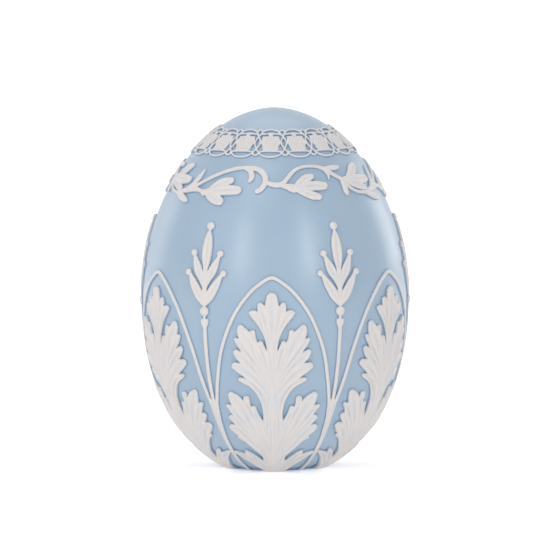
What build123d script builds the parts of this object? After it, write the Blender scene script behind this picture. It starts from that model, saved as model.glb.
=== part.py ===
"""A free-standing stoneware egg with moulded relief ornament applied to its surface.

The body is one hollow slip-cast shell with a flat foot and a vent hole.  Every piece of ornament is a
thin sprig that lies on the body: six acanthus leaves, each under its own arch, six flower spikes between
the arches, the stems that fork into the arches and spikes, a vine that repeats three times round the
shoulder, and a band of interlaced rings near the top.

Frame: millimetres, +Z up, origin at the middle of the foot, front towards -Y.
Ornament is drawn on the unrolled body.  A chart point is (u, s): s is the distance up the body's outer
meridian, counted so that the widest circle lies at WIDEST_S and the foot's edge a little below zero, and u
is the distance round the body from the sprig's own meridian.
"""
from build123d import *
from bisect import bisect_left
from math import atan2, cos, hypot, pi, radians, sin, tan
import os

# Body
HEIGHT = 152.6
MAX_RADIUS = 56.0
WIDEST_HEIGHT = 73.6
WIDEST_S = 83.75  # chart distance of the widest circle
CROWN_POWER = 1.9  # exponent of the superellipse above the widest height
FOOT_POWER = 2.2  # exponent below it
FOOT_REACH = 76.9  # depth below the widest height at which the lower curve would close
WALL = 4.0
FOOT_RECESS_RADIUS = 14.5
FOOT_RECESS_DEPTH = 1.0
FOOT_RECESS_TAPER = 30  # slope of the recess's side, in degrees
VENT_DIAMETER = 4.0

# Thickness of the applied relief
LEAF_RELIEF = 1.5
LINE_RELIEF = 0.9
SPIKE_RELIEF = 1.3
VINE_RELIEF = 1.1
FLOWER_RELIEF = 1.3
LACE_RELIEF = 0.8

# Repeats round the body, in degrees
LEAF_COUNT = 6
LEAF_START = -1.3
LEAF_PITCH = 360 / LEAF_COUNT
SPIKE_START = LEAF_START + LEAF_PITCH / 2
VINE_COUNT = 3
VINE_PITCH = 360 / VINE_COUNT
LACE_COUNT = 17
LACE_PITCH = 360 / LACE_COUNT
LACE_START = -2.8

MERIDIAN_STEPS = 800
ARC_COUNT = 8  # arcs that make up the meridian below the small cap at the top
CAP_TURN = 0.97
EXTRUDE_REACH = 1.6 * MAX_RADIUS
SLOPE_STEP = 0.2  # half the distance over which the meridian's slope is measured
TURN_STEP = 0.002  # the same, as a share of the meridian's turn


# ---------------------------------------------------------------- body surface


def radius_at(height):
    """Radius of the bare body at a height."""
    if height > WIDEST_HEIGHT:
        share, power = (height - WIDEST_HEIGHT) / (HEIGHT - WIDEST_HEIGHT), CROWN_POWER
    else:
        share, power = (WIDEST_HEIGHT - height) / FOOT_REACH, FOOT_POWER
    return MAX_RADIUS * max(1 - share**power, 0) ** (1 / power)


def meridian_point(turn):
    """Point (radius, height) on the meridian: turn is -1 at the foot, 0 at the widest, 1 at the top."""
    if turn > 0:
        angle = turn * pi / 2
        radius = MAX_RADIUS * cos(angle) ** (2 / CROWN_POWER)
        return radius, WIDEST_HEIGHT + (HEIGHT - WIDEST_HEIGHT) * sin(angle) ** (2 / CROWN_POWER)
    height = WIDEST_HEIGHT * (1 - sin(-turn * pi / 2))
    return radius_at(height), height


def meridian_table():
    """Heights up the meridian and their chart distances."""
    turns = [-1 + 2 * step / MERIDIAN_STEPS for step in range(MERIDIAN_STEPS + 1)]
    heights, distances = [0.0], [0.0]
    for turn in turns[1:]:
        height = meridian_point(turn)[1]
        step = hypot(height - heights[-1], radius_at(height) - radius_at(heights[-1]))
        heights.append(height)
        distances.append(distances[-1] + step)
    shift = WIDEST_S - distances[MERIDIAN_STEPS // 2]
    return heights, [distance + shift for distance in distances]


HEIGHTS, DISTANCES = meridian_table()


def height_at(s):
    """Height of the point at distance s up the meridian."""
    index = min(max(bisect_left(DISTANCES, s), 1), len(DISTANCES) - 1)
    share = (s - DISTANCES[index - 1]) / (DISTANCES[index] - DISTANCES[index - 1])
    return HEIGHTS[index - 1] + share * (HEIGHTS[index] - HEIGHTS[index - 1])


def lean_at(s):
    """Angle by which the body's outward normal points up at distance s, in radians."""
    low, high = height_at(s - SLOPE_STEP), height_at(s + SLOPE_STEP)
    return atan2(radius_at(low) - radius_at(high), high - low)


def lifted_point(turn, lift):
    """Point (radius, height) at distance lift outside the meridian."""
    radius, height = meridian_point(turn)
    above, below = meridian_point(turn + TURN_STEP), meridian_point(max(turn - TURN_STEP, -1))
    run, rise = above[0] - below[0], above[1] - below[1]
    length = hypot(run, rise)
    return radius + lift * rise / length, height - lift * run / length


def meridian_arcs(lift):
    """Adds the lifted meridian to the open line as arcs, from the foot's edge to just short of the axis.

    Returns its two ends.
    """
    turns = [-1 + (CAP_TURN + 1) * step / (2 * ARC_COUNT) for step in range(2 * ARC_COUNT + 1)]
    points = [lifted_point(turn, lift) for turn in turns]
    for index in range(0, 2 * ARC_COUNT, 2):
        ThreePointArc(*points[index : index + 3])
    return points[0], points[-1]


def solid_of_meridian(lift):
    """Adds the closed half section inside the lifted meridian to the open sketch."""
    with BuildLine() as section:
        bottom, rim = meridian_arcs(lift)
        TangentArc((0, HEIGHT + lift), rim, tangent=(1, 0))
        Line((0, HEIGHT + lift), (0, bottom[1]))
        Line((0, bottom[1]), bottom)
    make_face(section.edges())


def relief_shell(thickness):
    """The layer of that thickness on the body, which the sprigs are cut from."""
    with BuildPart() as shell:
        with BuildSketch(Plane.XZ):
            with BuildLine():
                inner_bottom, inner_rim = meridian_arcs(0)
                outer_bottom, outer_rim = meridian_arcs(thickness)
                Line(inner_bottom, outer_bottom)
                Line(inner_rim, outer_rim)
            make_face()
        revolve(axis=Axis.Z)
    return shell.part


# ---------------------------------------------------------------- drawing on the body


def sprig_plane(s):
    """Plane through the axis that faces the body squarely at distance s up the front meridian."""
    lean = lean_at(s)
    height = height_at(s)
    start = (0, 0, height - radius_at(height) * tan(lean))
    return Plane(origin=start, x_dir=(1, 0, 0), z_dir=(0, -cos(lean), sin(lean)))


def flatten(plane, u, s):
    """Chart point to its place on the sprig's plane."""
    height = height_at(s)
    radius = radius_at(height)
    local = plane.to_local_coords(Vector(radius * sin(u / radius), -radius * cos(u / radius), height))
    return local.X, local.Y


def bead(plane, u, s, radius):
    """A round spot on the chart, added to the open sketch."""
    right, top = flatten(plane, u + radius, s), flatten(plane, u, s + radius)
    left, bottom = flatten(plane, u - radius, s), flatten(plane, u, s - radius)
    with BuildLine() as outline:
        ThreePointArc(right, top, left)
        ThreePointArc(left, bottom, right)
    make_face(outline.edges())


def stroke(plane, points, flat_root=False):
    """A tapered stroke with a round tip, added to the open sketch.

    points run from root to tip, each (u, s, half_width).
    """
    left, right, ways = [], [], []
    for index, (u, s, half_width) in enumerate(points):
        before = points[max(index - 1, 0)]
        after = points[min(index + 1, len(points) - 1)]
        run, rise = after[0] - before[0], after[1] - before[1]
        way = (run / hypot(run, rise), rise / hypot(run, rise))
        ways.append(way)
        left.append(flatten(plane, u - way[1] * half_width, s + way[0] * half_width))
        right.append(flatten(plane, u + way[1] * half_width, s - way[0] * half_width))
    u, s, half_width = points[-1]
    tip = flatten(plane, u + ways[-1][0] * half_width, s + ways[-1][1] * half_width)
    u, s, half_width = points[0]
    root = flatten(plane, u - ways[0][0] * half_width, s - ways[0][1] * half_width)
    with BuildLine() as outline:
        Spline(*left)
        ThreePointArc(left[-1], tip, right[-1])
        Spline(*reversed(right))
        if flat_root:
            Line(right[0], left[0])
        else:
            ThreePointArc(right[0], root, left[0])
    make_face(outline.edges())


def mirrored(points):
    """The same stroke on the other side of the sprig's meridian."""
    return [(-u, s, half_width) for u, s, half_width in points]


def from_azimuth(points, middle):
    """Stroke points given by azimuth in degrees, turned into chart points about the middle azimuth."""
    return [(radius_at(height_at(s)) * radians(a - middle), s, w) for a, s, w in points]


def turned(part, angle):
    """Copy of a part turned about the axis; positive azimuth runs to the right of the front."""
    return part.rotate(Axis.Z, angle)


def write(part, name):
    """Names a finished piece and writes it."""
    part.label = name
    export_step(part, f"parts/{name}.step")


os.makedirs("parts", exist_ok=True)

# ---------------------------------------------------------------- egg body

with BuildPart() as outside:
    with BuildSketch(Plane.XZ):
        solid_of_meridian(0)
    revolve(axis=Axis.Z)

with BuildPart() as hollow:
    with BuildSketch(Plane.XZ):
        solid_of_meridian(-WALL)
    revolve(axis=Axis.Z)

with BuildPart() as egg_body:
    add(outside.part)
    add(hollow.part, mode=Mode.SUBTRACT)
    with BuildSketch(Plane.XY):
        Circle(FOOT_RECESS_RADIUS)
    extrude(amount=FOOT_RECESS_DEPTH, taper=FOOT_RECESS_TAPER, mode=Mode.SUBTRACT)
    with BuildSketch(Plane.XY):
        Circle(VENT_DIAMETER / 2)
    extrude(amount=2 * WALL, mode=Mode.SUBTRACT)
write(egg_body.part, "egg_body")

front_plane = sprig_plane(WIDEST_S)
leaf_shell = relief_shell(LEAF_RELIEF)
line_shell = relief_shell(LINE_RELIEF)
spike_shell = relief_shell(SPIKE_RELIEF)

# ---------------------------------------------------------------- forked stems between the leaves

STEM = [
    (0, -2.5, 0.85), (0, 6, 0.8), (0, 12, 0.85), (0, 19, 0.95), (0, 24, 1.05), (0, 29, 1.25), (0, 34, 1.5),
    (0, 38, 1.9), (0, 41, 2.15),
]

with BuildPart() as stem:
    with BuildSketch(front_plane):
        stroke(front_plane, STEM, flat_root=True)
    extrude(amount=EXTRUDE_REACH)
    add(line_shell, mode=Mode.INTERSECT)

# ---------------------------------------------------------------- arches over the leaves

ARCH_SIDE = [
    (1.8, 95.0, 0.8), (4.0, 93.6, 0.8), (6.3, 91.9, 0.8), (8.5, 89.9, 0.8), (12.6, 85, 0.8), (15.8, 80, 0.8),
    (18.2, 75, 0.8), (20.1, 70, 0.8), (21.6, 65, 0.8), (22.6, 60, 0.8), (23.2, 55, 0.8), (23.7, 50, 0.8),
    (24.0, 45, 0.8), (24.2, 41, 0.8),
]
ARCH_LINE = list(reversed(mirrored(ARCH_SIDE))) + [(0, 95.5, 0.85)] + ARCH_SIDE

with BuildPart() as arch:
    with BuildSketch(front_plane):
        stroke(front_plane, ARCH_LINE)
    extrude(amount=EXTRUDE_REACH)
    add(line_shell, mode=Mode.INTERSECT)
    add(turned(stem.part, LEAF_PITCH / 2), mode=Mode.SUBTRACT)
    add(turned(stem.part, -LEAF_PITCH / 2), mode=Mode.SUBTRACT)

# ---------------------------------------------------------------- acanthus leaves

LEAF_RIB = [
    (0, -2.5, 5.0), (0, 8, 4.6), (0, 12, 4.3), (0, 16, 4.3), (0, 27, 4.5), (0, 33.4, 4.2), (0, 38, 3.9),
    (0, 46, 3.6), (0, 56, 2.9), (0, 64.5, 2.45),
]
LEAF_TIP = [(0, 64, 2.0), (0, 75, 2.8), (0, 83, 3.0), (0, 87.2, 2.4)]
LEAF_FINGERS = [
    # crown
    [(0.8, 68, 1.4), (2.6, 77, 2.2), (4.2, 82.2, 1.8), (4.7, 84.2, 1.3)],
    [(1, 64, 0.9), (2.1, 70.5, 1.1), (4.2, 76, 1.6), (7, 80.1, 1.9), (8.8, 81, 0.95)],
    # upper lobe, from its inner tip round to its lower edge
    [(1.8, 56, 1.2), (3.4, 62, 1.7), (4.15, 65.3, 1.7), (4.75, 68.3, 1.15)],
    [(2, 54, 1.4), (5.5, 63.5, 1.9), (7.6, 69.5, 1.35), (8.05, 72.9, 1.2)],
    [(2, 52, 1.4), (5.5, 61, 2.4), (10.2, 69.5, 3), (12.4, 73, 2.25), (13, 74.7, 1.5)],
    [(2, 50, 1.4), (6, 58, 2), (11.6, 65.4, 1.5), (13.7, 68.4, 1.5), (15.2, 69.85, 0.8)],
    [(2, 48, 1.4), (6, 55.5, 1.9), (11.5, 61, 2.1), (13.6, 62.8, 1.9), (15.1, 64.4, 1.3)],
    [(1.8, 45.5, 1.4), (6, 51.5, 2.2), (10.5, 55.6, 2.4), (13.2, 57.5, 2.3), (15.6, 58.5, 1.6)],
    [(2.2, 34, 1.8), (2.6, 38.5, 1.7), (3.6, 43.3, 1.7), (6, 47.9, 1.6), (8.7, 50.7, 1.55),
     (11.3, 51.9, 1.3), (13.4, 52.7, 0.95)],
    # lower lobe
    [(2.2, 18, 1.6), (5, 28, 1.8), (6.2, 32.8, 2.1), (6.95, 36.3, 1.25), (7.85, 39.8, 1.05)],
    [(2.8, 20, 1.6), (7.2, 32, 2.2), (10.4, 40, 1.6), (10.95, 44.1, 1.4)],
    [(3, 18, 1.6), (7.5, 28.5, 2.4), (12.6, 38, 3), (15.6, 43, 2.6), (17.6, 45.6, 1.4)],
    [(3, 16.5, 1.6), (8, 26, 2), (14.2, 35.2, 2), (17.2, 39, 1.4), (19.1, 40.4, 0.85)],
    [(3, 15, 1.6), (8, 23.5, 2), (13, 30.9, 2), (15.6, 33.7, 2), (17.6, 34.9, 1.25)],
    [(2.8, 13, 1.6), (8, 20.7, 2.2), (12.6, 26.4, 2.4), (15.2, 28.7, 2.3), (17.4, 30, 1.5)],
    [(2.6, 9, 1.6), (3.2, 12.2, 1.55), (4.6, 16, 1.5), (7.4, 19.9, 1.5), (11, 23, 1.45), (14.4, 24.5, 0.8)],
    # leaflets at the foot
    [(3, 3.8, 2.2), (6.9, 9.4, 1.9), (9.7, 13.3, 1.5), (11.7, 15.8, 0.75)],
    [(3, 2.2, 2.3), (7.6, 7.9, 2.1), (12, 12.2, 1.6), (16.6, 15, 0.75)],
]

with BuildPart() as acanthus:
    with BuildSketch(front_plane):
        stroke(front_plane, LEAF_RIB, flat_root=True)
        stroke(front_plane, LEAF_TIP)
        for finger in LEAF_FINGERS:
            stroke(front_plane, finger)
            stroke(front_plane, mirrored(finger))
    extrude(amount=EXTRUDE_REACH)
    add(leaf_shell, mode=Mode.INTERSECT)
    add(turned(stem.part, LEAF_PITCH / 2), mode=Mode.SUBTRACT)
    add(turned(stem.part, -LEAF_PITCH / 2), mode=Mode.SUBTRACT)

# ---------------------------------------------------------------- flower spikes between the arches

SPIKE_STEM = [(0, 42.5, 0.85), (0, 60, 0.85), (0, 73, 0.9), (0, 76, 0.9), (0, 79.5, 0.6)]
SPIKE_CUP = [(0.3, 74.8, 0.8), (0.85, 76.3, 0.9), (1.2, 77.4, 0.65)]
SPIKE_KNOB = (0, 81.1, 2.05)
SPIKE_PETAL = [
    (0, 83.8, 0.9), (0, 92, 1.2), (0, 98, 1.1), (0, 103, 2.1), (0, 107.3, 2.3), (0, 111.5, 1.7),
    (0, 114.6, 0.6),
]
SPIKE_SIDES = [
    [(0.2, 90.3, 0.8), (1.7, 93.8, 1.7), (3.6, 98.2, 2.15), (5.5, 103.2, 0.95)],
    [(0.6, 84.5, 1.2), (2.4, 87.7, 2.2), (4.8, 92.0, 2.0), (7.3, 95.9, 0.9)],
]
SPIKE_BEADS = [(6.25, 105.1, 1.5), (8.4, 97.0, 1.45)]
SPIKE_TOP_BEAD = (0, 116.6, 1.75)

with BuildPart() as flower_spike:
    with BuildSketch(front_plane):
        stroke(front_plane, SPIKE_STEM, flat_root=True)
        stroke(front_plane, SPIKE_PETAL)
        stroke(front_plane, SPIKE_CUP)
        stroke(front_plane, mirrored(SPIKE_CUP))
        bead(front_plane, *SPIKE_KNOB)
        bead(front_plane, *SPIKE_TOP_BEAD)
        for petal in SPIKE_SIDES:
            stroke(front_plane, petal)
            stroke(front_plane, mirrored(petal))
        for u, s, radius in SPIKE_BEADS:
            bead(front_plane, u, s, radius)
            bead(front_plane, -u, s, radius)
    extrude(amount=EXTRUDE_REACH)
    add(spike_shell, mode=Mode.INTERSECT)
    add(stem.part, mode=Mode.SUBTRACT)

for number in range(LEAF_COUNT):
    leaf_angle = LEAF_START + number * LEAF_PITCH
    spike_angle = SPIKE_START + number * LEAF_PITCH
    write(turned(acanthus.part, leaf_angle), f"acanthus_leaf_{number + 1}")
    write(turned(arch.part, leaf_angle), f"leaf_arch_{number + 1}")
    write(turned(stem.part, spike_angle), f"forked_stem_{number + 1}")
    write(turned(flower_spike.part, spike_angle), f"flower_spike_{number + 1}")

# ---------------------------------------------------------------- vine round the shoulder

# Vine points are (azimuth in degrees, s, half_width), over one repeat of the vine.
SCROLL_MIDDLE, BOW_MIDDLE, TENDRIL_MIDDLE = -31, 20, 54
VINE_LEVEL = 136  # distance up the meridian at which the vine is drawn square
SCROLL = [
    # main stem, thorn, scroll with its curled end, inner hook
    [(-60, 130.3, 1.0), (-56, 131.3, 1.15), (-51, 132.1, 1.3), (-47, 132.3, 1.1), (-42, 131.6, 0.8)],
    [(-54.5, 132.2, 1.0), (-51, 134.2, 1.2), (-48.9, 137, 1.2), (-47.7, 139.2, 0.95), (-46.8, 141.6, 0.35)],
    [(-49.5, 133.2, 0.9), (-45.5, 135.1, 0.8), (-41, 137.2, 0.8), (-36, 139.3, 0.85), (-30, 141.3, 0.85),
     (-24, 142.7, 0.9), (-18, 143.3, 0.95), (-12.5, 143.1, 1.1), (-8.3, 141.9, 1.2), (-5.8, 139.8, 1.2),
     (-5.0, 137.3, 1.25), (-5.9, 134.9, 1.3), (-7.6, 133.1, 1.3), (-9.2, 132.4, 1.2)],
    [(-18.5, 143.0, 0.7), (-14.9, 141.8, 1.0), (-13.4, 139.8, 1.25), (-13.3, 138.1, 1.15),
     (-14.2, 136.9, 0.8)],
]
BOW = [
    # link and bow with its pointed end, falling stem, small leaf
    [(-4.2, 136.2, 1.1), (-1, 135.4, 1.2), (2, 135.2, 1.2), (4.8, 135.9, 1.1), (7, 137.7, 0.95),
     (9.5, 140, 0.9), (12.5, 142.0, 0.85), (16, 143.2, 0.75), (20, 143.7, 0.7), (25, 143.7, 0.7),
     (29, 143.1, 0.8), (32, 141.9, 1.0), (33.4, 140.2, 0.95), (33.4, 138.7, 0.65), (32.7, 137.1, 0.3)],
    [(31.5, 142.3, 0.9), (34.3, 141.2, 1.0), (36.3, 139.7, 0.85), (39, 138.3, 0.8), (41.8, 137.0, 0.9),
     (44, 136.5, 1.2)],
    [(32.5, 142.6, 0.8), (36, 142.5, 1.1), (40, 142.6, 1.35), (42.6, 142.5, 0.9)],
]
TENDRIL = [
    # lower stem, hanging bud, low leaf
    [(41.7, 136.6, 1.1), (43.2, 135.2, 1.0), (44.9, 133.4, 0.8), (47.2, 131.9, 0.8), (50, 130.9, 0.8),
     (54, 130.3, 0.8), (58, 130.1, 0.9), (61, 130.4, 1.0)],
    [(42, 135.5, 1.3), (41.9, 133.5, 1.25), (41.8, 131.5, 1.3), (41.8, 130.5, 1.1)],
    [(58, 129.8, 1.0), (62, 128.7, 1.5), (65.5, 127.6, 1.4), (68.2, 126.8, 0.8)],
]
# Each flower: calyx, with a spur on the first two, then its upper, middle and lower petals.
FLOWERS = [
    (-31, [
        [(-43.5, 131.5, 0.7), (-40.5, 131.2, 1.4), (-38, 131.6, 1.5)],
        [(-41, 131.0, 1.2), (-41, 130.1, 0.7)],
        [(-37.7, 131.8, 1.3), (-34.4, 133.7, 1.9), (-30, 135.8, 2.3), (-25.6, 136.9, 1.7)],
        [(-38, 131.5, 1.4), (-31, 132.3, 2.2), (-24, 132.6, 2.3), (-20.2, 132.6, 1.9)],
        [(-38.5, 131, 1.3), (-35.5, 129.6, 2.0), (-32, 128.4, 2.3), (-29.3, 127.5, 1.9)],
    ]),
    (17, [
        [(3.8, 134.9, 0.9), (7, 134.4, 1.4), (10.5, 133.9, 1.7)],
        [(8.5, 133.4, 1.2), (10.6, 132.2, 0.8)],
        [(11.9, 134.2, 1.3), (15, 136.1, 1.8), (18.6, 137.9, 2.0), (21.8, 138.7, 1.4)],
        [(12, 133.8, 1.5), (18, 134.3, 2.1), (24, 134.4, 2.2), (28.2, 134.2, 1.8)],
        [(12.5, 133, 1.3), (16.3, 131.6, 1.7), (20.5, 130.2, 1.9), (23.9, 129.4, 1.4)],
    ]),
    (54, [
        [(43.0, 136.7, 1.1), (46, 136.4, 1.8)],
        [(46.8, 137, 1.4), (51.3, 138.9, 2.0), (55.2, 141.5, 2.1), (58.3, 142.9, 1.4)],
        [(46, 136.3, 1.6), (52, 136.3, 2.2), (58, 136.2, 2.3), (62.8, 136.2, 1.8)],
        [(46, 135.6, 1.4), (50, 134.3, 1.8), (55, 133, 1.8), (58.4, 131.9, 1.3)],
    ]),
]
vine_plane = sprig_plane(VINE_LEVEL)
vine_shell = relief_shell(VINE_RELIEF)
flower_shell = relief_shell(FLOWER_RELIEF)


def vine_sprig(strokes, middle, shell, neighbours=()):
    """One stretch of the vine in its own place, cut back where it meets its neighbours."""
    with BuildPart() as sprig:
        with BuildSketch(vine_plane):
            for points in strokes:
                stroke(vine_plane, from_azimuth(points, middle))
        extrude(amount=EXTRUDE_REACH)
        add(shell, mode=Mode.INTERSECT)
        for neighbour in neighbours:
            add(turned(neighbour, -middle), mode=Mode.SUBTRACT)
    return turned(sprig.part, middle)


scroll = vine_sprig(SCROLL, SCROLL_MIDDLE, vine_shell)
bow = vine_sprig(BOW, BOW_MIDDLE, vine_shell, [scroll])
tendril = vine_sprig(TENDRIL, TENDRIL_MIDDLE, vine_shell, [bow, turned(scroll, VINE_PITCH)])
vine_stems = [scroll, bow, tendril, turned(scroll, VINE_PITCH)]
flowers = [vine_sprig(strokes, middle, flower_shell, vine_stems) for middle, strokes in FLOWERS]

for number in range(VINE_COUNT):
    angle = number * VINE_PITCH
    write(turned(scroll, angle), f"vine_scroll_{number + 1}")
    write(turned(bow, angle), f"vine_bow_{number + 1}")
    write(turned(tendril, angle), f"vine_tendril_{number + 1}")
    for place, flower in enumerate(flowers):
        write(turned(flower, angle), f"vine_flower_{number * len(flowers) + place + 1}")

# ---------------------------------------------------------------- band of interlaced rings

# One cell of the band, points (azimuth from the cell's middle, s, half_width).
HALF_CELL = LACE_PITCH / 2
LACE_LINE = 0.33
LACE_LEVEL = 156.5  # distance up the meridian at which the band is drawn square
RING_SIDE = [
    (0, 148.7), (3.2, 148.9), (6.3, 149.8), (8.9, 151.3), (10.6, 153.2), (12.2, 155.0), (12.7, 156.5),
    (12.2, 158.0), (10.6, 159.8), (9.2, 161.3), (6.8, 163.1), (3.5, 164.0), (0, 164.3),
]
LOW_LOOP = [(-2.3, 150.9), (-1.4, 150.0), (0, 149.6), (1.4, 150.0), (2.3, 150.9)]
HIGH_LOOP = [(-2.6, 162.3), (-1.9, 163.4), (0, 163.9), (1.9, 163.4), (2.6, 162.3)]
CROSS_LINES = [
    [(-8.6, 151.2), (-4.5, 151.7), (0, 151.8), (4.5, 151.7), (8.6, 151.2)],
    [(-8.8, 161.3), (-4.5, 161.6), (0, 161.7), (4.5, 161.6), (8.8, 161.3)],
]
WOVEN_BLOCK = [
    (-5.6, 151.8), (5.6, 151.8), (6.4, 154.2), (8.2, 156.5), (7.0, 160.1), (2.2, 160.2), (2.2, 161.7),
    (-2.2, 161.7), (-2.2, 160.2), (-7.0, 160.1), (-8.2, 156.5), (-6.4, 154.2),
]
lace_plane = sprig_plane(LACE_LEVEL)
lace_shell = relief_shell(LACE_RELIEF)


def lace_line(points, middle=0):
    """One line of the band, added to the open sketch about a middle azimuth."""
    stroke(lace_plane, from_azimuth([(a + middle, s, LACE_LINE) for a, s in points], 0))


with BuildPart() as lace_cell:
    with BuildSketch(lace_plane):
        for ring_middle in (-LACE_PITCH, 0, LACE_PITCH):
            lace_line(RING_SIDE, ring_middle)
            lace_line([(-a, s) for a, s in RING_SIDE], ring_middle)
        for crossing in (-HALF_CELL, HALF_CELL):
            lace_line(LOW_LOOP, crossing)
            lace_line(HIGH_LOOP, crossing)
        for points in CROSS_LINES:
            lace_line(points)
        with BuildLine() as block:
            corners = from_azimuth([(a, s, 0) for a, s in WOVEN_BLOCK], 0)
            Polyline(*[flatten(lace_plane, u, s) for u, s, _ in corners], close=True)
        make_face(block.edges())
    extrude(amount=EXTRUDE_REACH)
    add(lace_shell, mode=Mode.INTERSECT)
    half_span = HEIGHT * tan(radians(HALF_CELL))
    with BuildSketch(Plane.XY):
        with BuildLine():
            Polyline((0, 0), (-half_span, -HEIGHT), (half_span, -HEIGHT), close=True)
        make_face()
    extrude(amount=HEIGHT, mode=Mode.INTERSECT)

with BuildPart() as lace_band:
    for number in range(LACE_COUNT):
        add(turned(lace_cell.part, LACE_START + number * LACE_PITCH))
write(lace_band.part, "lace_band")
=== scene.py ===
"""Looks of the relief-decorated egg: a satin pale blue body carrying moulded off-white relief.

Each relief piece is drawn with strokes like those of the CAD part, as a height field on the unrolled body,
and its mesh is that field wrapped back onto the body.  A chart point is (u, s) in millimetres: s is the
distance up the body's meridian, counted so that the widest circle lies at WIDEST_S, and u the distance round
the body from the piece's own meridian.
"""
from collections import namedtuple
from math import cos, pi, radians, sin

import bpy
import numpy as np
from mathutils import Matrix, Vector


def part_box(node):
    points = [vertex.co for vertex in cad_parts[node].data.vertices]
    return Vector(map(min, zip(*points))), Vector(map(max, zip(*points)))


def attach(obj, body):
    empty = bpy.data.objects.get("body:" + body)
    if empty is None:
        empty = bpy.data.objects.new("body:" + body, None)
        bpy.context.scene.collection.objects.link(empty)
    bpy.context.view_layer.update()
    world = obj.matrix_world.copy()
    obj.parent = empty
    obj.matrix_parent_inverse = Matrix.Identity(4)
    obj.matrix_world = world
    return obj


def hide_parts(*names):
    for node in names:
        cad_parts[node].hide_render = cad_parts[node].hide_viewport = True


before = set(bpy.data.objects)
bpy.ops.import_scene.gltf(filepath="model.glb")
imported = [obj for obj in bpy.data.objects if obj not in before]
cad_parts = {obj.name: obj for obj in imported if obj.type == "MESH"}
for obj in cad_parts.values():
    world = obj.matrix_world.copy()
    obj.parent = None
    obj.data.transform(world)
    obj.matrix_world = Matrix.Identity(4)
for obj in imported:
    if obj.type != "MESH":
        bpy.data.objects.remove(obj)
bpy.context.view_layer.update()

MM = 0.001
body_low, body_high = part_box("egg_body")

# Body surface, as in the part: a superellipse above the widest height and another below it
HEIGHT = body_high.z / MM
MAX_RADIUS = body_high.x / MM
WIDEST_HEIGHT = HEIGHT * 73.6 / 152.6
FOOT_REACH = HEIGHT * 76.9 / 152.6
WIDEST_S = 83.75  # chart distance of the widest circle
CROWN_POWER = 1.9
FOOT_POWER = 2.2
MERIDIAN_STEPS = 4000

# Relief meshes
SINK = 0.3  # how far a piece's underside is bedded into the body
LIP = 0.4  # height of the upright edge below the rounded shoulder
FOOT_CLEARANCE = 0.25  # least height of any relief above the floor
LINE_SPACING = 0.25
FIELD_FLOOR = -1.0  # value of a field far outside every stroke
CROSSING_LIMIT = 0.1  # outline points keep this share of a grid step away from grid points
HOLLOW_REACH = 1.1  # distance over which a hollow is compared with its surroundings
HOLLOW_DEPTH = 0.22  # hollow depth that takes the full painted shade
HOLLOW_ACROSS = (0.1, 0.7)  # shares of the half width between which a stroke's hollow fades out
HOLLOW_ALONG = (0.15, 0.6)  # shares of the length between which it comes in
CARVING_REACH = 0.9  # depth inside the outline at which grooves are full
UNEVEN_REACH = 1.2  # depth inside the outline at which the mould's unevenness is full

# ---------------------------------------------------------------- body surface


def meridian():
    """Chart distance, radius, height and outward normal (radial, upward) at points up the meridian."""
    turn = np.linspace(-1, 1, MERIDIAN_STEPS + 1)
    angle = np.abs(turn) * pi / 2
    crown = WIDEST_HEIGHT + (HEIGHT - WIDEST_HEIGHT) * np.sin(angle) ** (2 / CROWN_POWER)
    height = np.where(turn > 0, crown, WIDEST_HEIGHT * (1 - np.sin(angle)))
    above = np.clip((height - WIDEST_HEIGHT) / (HEIGHT - WIDEST_HEIGHT), 0, 1)
    below = np.clip((WIDEST_HEIGHT - height) / FOOT_REACH, 0, 1)
    radius = MAX_RADIUS * np.where(
        turn > 0,
        (1 - above**CROWN_POWER) ** (1 / CROWN_POWER),
        (1 - below**FOOT_POWER) ** (1 / FOOT_POWER),
    )
    distance = np.concatenate([[0], np.cumsum(np.hypot(np.diff(radius), np.diff(height)))])
    distance += WIDEST_S - np.interp(0, turn, distance)
    run, rise = np.gradient(radius, distance), np.gradient(height, distance)
    length = np.hypot(run, rise)
    return distance, radius, height, rise / length, -run / length


S_TABLE, RADIUS_TABLE, HEIGHT_TABLE, OUT_TABLE, UP_TABLE = meridian()


def radius_of(s):
    """Body radius at distance s up the meridian."""
    return np.interp(s, S_TABLE, RADIUS_TABLE)


def body_points(azimuth, s, lift):
    """Points in metres at a lift outside the body; azimuth in radians runs to the right of the front."""
    out, up = np.interp(s, S_TABLE, OUT_TABLE), np.interp(s, S_TABLE, UP_TABLE)
    radius = radius_of(s) + lift * out
    height = np.interp(s, S_TABLE, HEIGHT_TABLE) + lift * up
    return np.stack([radius * np.sin(azimuth), -radius * np.cos(azimuth), height], axis=-1) * MM


def lift_limit(s):
    """Greatest lift at distance s that still clears the floor."""
    up = np.interp(s, S_TABLE, UP_TABLE)
    room = np.interp(s, S_TABLE, HEIGHT_TABLE) - FOOT_CLEARANCE
    return np.where(up < -0.05, room / np.maximum(-up, 0.05), np.inf)


# ---------------------------------------------------------------- height fields


def smooth_step(value, low, high):
    """0 below low, 1 above high, and smooth in between."""
    share = np.clip((value - low) / (high - low), 0, 1)
    return share * share * (3 - 2 * share)


def smooth_line(points):
    """A Catmull-Rom line through the points, sampled evenly enough to draw with."""
    p = np.array(points, float)
    if len(p) == 1:
        return p
    ends = np.vstack([2 * p[0] - p[1], p, 2 * p[-1] - p[-2]])
    ends[:, 2] = np.clip(ends[:, 2], p[:, 2].min(), p[:, 2].max())
    line = []
    for a, b, c, d in zip(ends, ends[1:], ends[2:], ends[3:]):
        count = max(int(np.hypot(*(c - b)[:2]) / LINE_SPACING), 1)
        t = (np.arange(count) / count)[:, None]
        bend, twist = 2 * a - 5 * b + 4 * c - d, 3 * (b - c) + d - a
        line.append(0.5 * (2 * b + (c - a) * t + bend * t**2 + twist * t**3))
    return np.vstack(line + [p[-1:]])


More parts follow.
